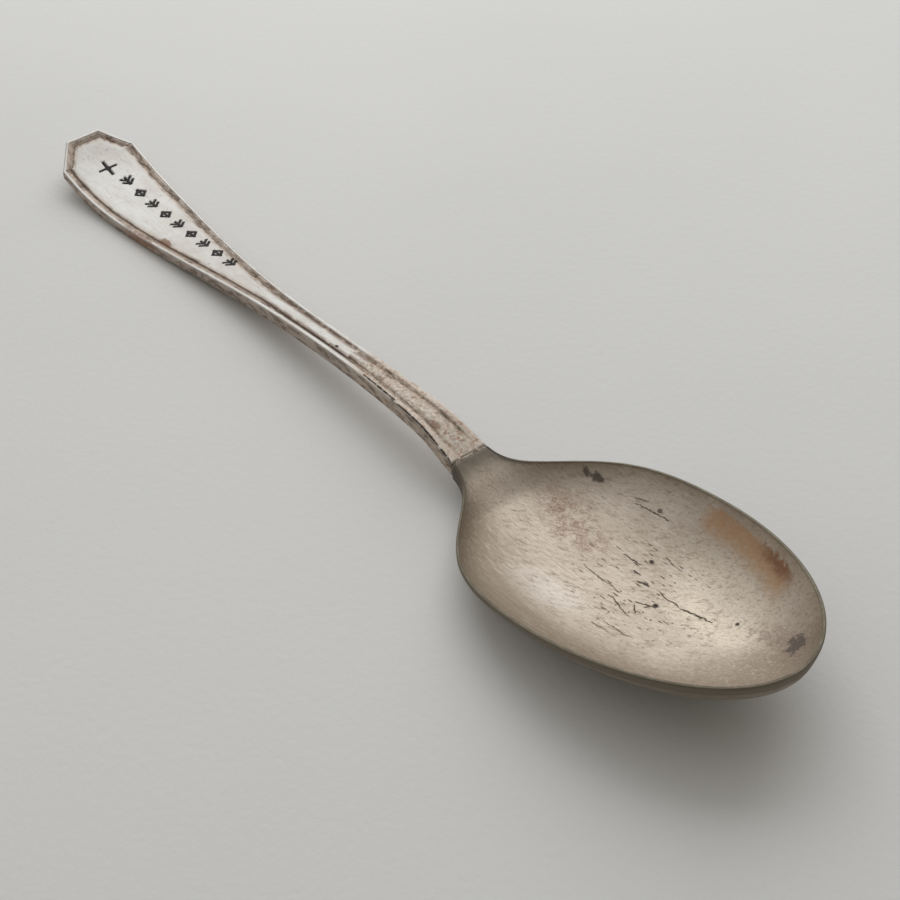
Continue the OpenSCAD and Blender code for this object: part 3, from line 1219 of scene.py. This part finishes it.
        depth = clamp01(-(relief + 0.1) / (self.groove - 0.1)) ** 1.5 * (gap > rail_end)
        band = ease((gap - rail_end + 0.1) / 0.2) * clamp01(-(relief + 0.02) / 0.05)
        sharp = np.exp(-(((gap - 0.16) / 0.12) ** 2))
        empty = np.zeros_like(by)
        marks = {
            "groove": np.hstack([depth, empty]),
            "border": np.hstack([band, empty]),
            "edge": np.hstack([sharp, empty]),
            "side": np.hstack([clamp01(1 - gap / 0.15), empty + 1]),
        }
        return points, marks

    def build(self) -> bpy.types.Object:
        """Makes the handle and dresses it.

        Returns:
            The handle.
        """
        points, marks = self.rings()
        made = Loft("handle_shell", self.form.metres(points), marks).build()
        return self.finish(made, HandlePlate(self.form).material(), "handle_plate", "handle")


@dataclass
class Bowl(Piece):
    """The bowl: a shoulder that grows out of the neck, a narrow flat rim and an oval hollow."""

    wall: float = 0.95
    edge_wall: float = 0.5
    rim: float = 0.42
    heel_at: float = 116.0
    flat_dip: float = 0.08
    solder: float = 0.3
    edge_round: float = 0.18
    inside_power: float = 0.7
    outside_power: float = 0.75

    @staticmethod
    def rise(u: Array) -> Array:
        """From 0 to 1, level at first and steep at last: 1 less (1 - u to the 2.2) to the 0.6."""
        return 1 - (1 - u**2.2) ** 0.6

    def keel(self, x: Array) -> Array:
        """Lowest line of the outside: a cubic down to the heel, then a steepening curve up.

        Args:
            x: Places along the bowl.

        Returns:
            The heights.
        """
        form = self.form
        drop = float(form.face(np.array(form.joint_at))) - form.neck_thickness
        run = self.heel_at - form.joint_at
        back = blend((x - form.joint_at) / run, drop, -0.3, 0.0, 0.0, run)
        u = clamp01((x - self.heel_at) / (form.length - self.heel_at))
        front = (form.tip_height - self.wall) * self.rise(u)
        return np.where(x < self.heel_at, back, front)

    def floor(self, x: Array) -> Array:
        """Lowest line of the inside, which meets the rim a rim's width before the tip.

        Args:
            x: Places along the bowl.

        Returns:
            The heights.
        """
        form = self.form
        up = self.wall - self.flat_dip
        u = clamp01((x - self.heel_at) / (form.length - self.rim - self.heel_at))
        front = up + (form.tip_height - up) * self.rise(u)
        return np.where(x < self.heel_at, self.keel(x) + up, front)

    def rim_wall(self, x: Array) -> Array:
        """Height of the edge: the neck's thickness, easing to the wall's.

        Args:
            x: Places along the bowl.

        Returns:
            The heights.
        """
        form = self.form
        extra = form.neck_thickness - self.edge_wall
        return self.edge_wall + extra * (1 - ease((x - form.joint_at) / 9))

    @staticmethod
    def hollow(s: Array, power: float) -> Array:
        """Share of the full depth at s of the half width: (1 - s to the 2.2) to a power."""
        return clamp01(1 - np.abs(s) ** 2.2) ** power

    def inner_half(self, x: Array) -> Array:
        """Half width of the hollow: inside the rim all round, the tip included.

        Args:
            x: Places along the bowl.

        Returns:
            The half widths.
        """
        form = self.form
        w = form.half_width(x)
        share = (x - form.bowl_at) / (form.length - self.rim - form.bowl_at)
        oval = (form.bowl_half - self.rim) * np.sqrt(clamp01(1 - share**2))
        inner = np.where(x < form.bowl_at, w - self.rim, oval)
        return np.maximum(inner, 0.45 * w)

    def rings(self) -> tuple[Array, dict[str, Array]]:
        """The rings and, for each point, how near the rim it is and whether it is inside.

        Returns:
            The rings in millimetres and the marks for the finish.
        """
        form = self.form
        start = form.joint_at + self.solder
        turn = np.radians(np.concatenate([np.arange(0, 87, 1.0), [87.5, 88.3, 89.0]]))
        x = np.concatenate([
            np.arange(start, form.bowl_at - 0.2, 0.3),
            form.bowl_at + (form.length - form.bowl_at) * np.sin(turn),
        ])[:, None]
        w, v, z = form.half_width(x), self.inner_half(x), form.face(x)
        r = np.minimum(self.edge_round, 0.45 * (w - v))
        bend = np.linspace(0, np.pi / 2, 6)[None, :]
        edge_y, edge_z = w - r * (1 - np.cos(bend)), z - r * (1 - np.sin(bend))
        lip = np.linspace(0, 1, 5)[None, 1:-1]
        lip_y = (w - r) + (v - (w - r)) * lip
        lip_z = np.repeat(z, lip.shape[1], axis=1)
        s = np.sin(np.linspace(np.pi / 2, -np.pi / 2, 97))[None, :]
        depth = np.maximum(0, z - self.floor(x)) * ease((x - start) / 8)
        in_y, in_z = v * s, z - depth * self.hollow(s, self.inside_power)
        wall = self.rim_wall(x)
        low = self.keel(x) - self.flat_dip
        out_top = z - wall
        drop = np.maximum(0, out_top - low) * self.hollow(-s, self.outside_power)
        out_y, out_z = -w * s, np.maximum(0, out_top - drop)
        ys = np.hstack([edge_y, lip_y, in_y, -lip_y[:, ::-1], -edge_y[:, ::-1], out_y])
        zs = np.hstack([edge_z, lip_z, in_z, lip_z[:, ::-1], edge_z[:, ::-1], out_z])
        xs = np.repeat(x, ys.shape[1], axis=1)
        # The rim mark is 1 on the flat, 0.7 on the rounded edge, and fades down both walls; down
        # the outer wall it carries painted shade.
        lip_mark = np.hstack([np.full_like(edge_y, 0.7), np.ones_like(lip_y)])
        in_rim = clamp01(1 - np.abs(in_z - z) / 0.7) * 0.5
        # painted shade: the outer wall darkened for about a millimetre below the rim
        outer_rim_shade = 0.66 * clamp01(1.6 - (out_top - out_z) / 0.9)
        rim = np.hstack([lip_mark, in_rim, lip_mark[:, ::-1], outer_rim_shade])
        inside = np.ones_like(rim)
        inside[:, -out_y.shape[1]:] = 0.0
        return np.stack([xs, ys, zs], -1), {"rim": rim, "inside": inside}

    def build(self) -> bpy.types.Object:
        """Makes the bowl and dresses it.

        Returns:
            The bowl.
        """
        points, marks = self.rings()
        made = Loft("bowl_shell", self.form.metres(points), marks).build()
        return self.finish(made, BowlPlate(self.form).material(), "bowl_plate", "bowl")


@dataclass
class NeckSeam(Piece):
    """The film of solder between the handle's end and the bowl."""

    width: float = 0.3
    inset: float = 0.03

    def build(self) -> bpy.types.Object:
        """Makes the film: a rounded slab as wide as the neck, a little inside its surface.

        Returns:
            The film.
        """
        form = self.form
        x = form.joint_at + np.linspace(0, self.width, 4)[:, None]
        w = form.half_width(x) - self.inset
        z = form.face(x) - self.inset
        t = np.linspace(0, 2 * np.pi, 65)[None, :-1] + np.pi / 4
        depth = form.neck_thickness - 2 * self.inset
        c, s = np.cos(t), np.sin(t)
        y = w * np.sign(c) * np.abs(c) ** 0.35
        h = z - depth / 2 + depth / 2 * np.sign(s) * np.abs(s) ** 0.35
        points = np.stack([np.repeat(x, 64, axis=1), y, h], -1)
        made = Loft("solder_film", form.metres(points)).build()
        return self.finish(made, SolderFilm(form).material(), "solder", "neck_solder")


@dataclass
class MarkFills(Piece):
    """The black in the punched marks: the frame's own solids, dressed."""

    def build(self) -> list[bpy.types.Object]:
        """Dresses each fill.

        Returns:
            The fills.
        """
        material = BlackFill(self.form).material()
        fills = [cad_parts[n] for n in sorted(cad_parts) if n.startswith("mark_fill")]
        for fill in fills:
            fill.data.materials.clear()
            fill.data.materials.append(material)
            LOG.info("%s: dressed with the black fill", fill.name)
        return fills


# ---- surroundings


@dataclass(frozen=True)
class Lamp:
    """A square soft light that looks at the spoon."""

    name: str
    at: Colour
    size: float
    power: float
    colour: Colour = (1.0, 1.0, 1.0)

    def build(self) -> bpy.types.Object:
        """Adds the light.

        Returns:
            The light.
        """
        data = bpy.data.lights.new(self.name, "AREA")
        data.shape, data.size = "SQUARE", self.size
        data.energy, data.color = self.power, self.colour
        made = put(self.name, data)
        made.location = self.at
        made.rotation_euler = (-Vector(self.at)).to_track_quat("-Z", "Y").to_euler()
        return made


@dataclass
class Studio:
    """Table, room light, lamp and camera."""

    form: SpoonForm
    eye: Colour = (235.789, -111.942, 168.776)
    right: Colour = (0.62663294, 0.77903648, -0.02081622)
    down: Colour = (0.51564627, -0.43450186, -0.73845586)
    ahead: Colour = (-0.58432874, 0.45200696, -0.67398044)
    lens: float = 76.352
    shift: tuple[float, float] = (0.0028, 0.0031)
    ambient: Colour = (1.0, 1.0, 1.0)
    warm: Colour = (1.0, 0.91, 0.77)
    bright_side: Colour = (-0.72, 0.12, 0.68)
    dim: float = 0.10
    bright: float = 0.50
    lamps: tuple[Lamp, ...] = (
        Lamp("window", (-0.26, 0.26, 0.33), 0.55, 1.35),
    )

    def camera(self) -> None:
        """Adds the camera, level with the table and looking down at the spoon."""
        data = bpy.data.cameras.new("camera")
        data.sensor_width, data.lens = 36.0, self.lens
        data.shift_x, data.shift_y = self.shift
        data.clip_start, data.clip_end = 0.01, 20.0
        made = put("camera", data)
        turned = Matrix((self.right, [-v for v in self.down], [-v for v in self.ahead]))
        place = turned.transposed().to_4x4()
        place.translation = Vector(self.form.metres(np.array(self.eye)))
        made.matrix_world = place
        bpy.context.scene.camera = made

    def table(self) -> None:
        """Adds the pale table under the spoon."""
        span, z = 2.5, CAD_LOW.z
        mesh = bpy.data.meshes.new("table")
        corners = [(-span, -span, z), (span, -span, z), (span, span, z), (-span, span, z)]
        mesh.from_pydata(corners, [], [(0, 1, 2, 3)])
        mesh.materials.append(TablePaper().material())
        made = put("table", mesh)

    def surroundings(self) -> None:
        """Sets the room's light, brighter towards the window, and plain colour handling."""
        world = bpy.data.worlds.new("room")
        world.use_nodes = True
        p = Paint("room", world)
        look = p.node("ShaderNodeTexCoord", {}, {}).outputs["Generated"]
        facing = p.node(
            "ShaderNodeVectorMath", {"operation": "DOT_PRODUCT"}, {0: look, 1: self.bright_side}
        ).outputs["Value"]
        share = ((Signal(p, facing) + 1.0) * 0.5).at_least(0.0) ** 2.2
        light = p.node(
            "ShaderNodeBackground", {}, {"Color": p.mix(share, self.warm, self.ambient),
                                         "Strength": share * self.bright + self.dim}
        )
        p.node("ShaderNodeOutputWorld", {}, {"Surface": light.outputs[0]})
        scene = bpy.context.scene
        scene.world = world
        scene.view_settings.view_transform = "Standard"

    def build(self) -> None:
        """Adds everything around the spoon."""
        self.surroundings()
        self.table()
        for lamp in self.lamps:
            lamp.build()
        self.camera()


def main() -> None:
    """Builds the spoon piece by piece, then its surroundings."""
    logging.basicConfig(level=logging.INFO, format="%(name)s: %(message)s")
    form = SpoonForm.from_frame()
    Studio(form).build()
    Handle(form).build()
    Bowl(form).build()
    NeckSeam(form).build()
    MarkFills(form).build()


if __name__ == "__main__":
    main()
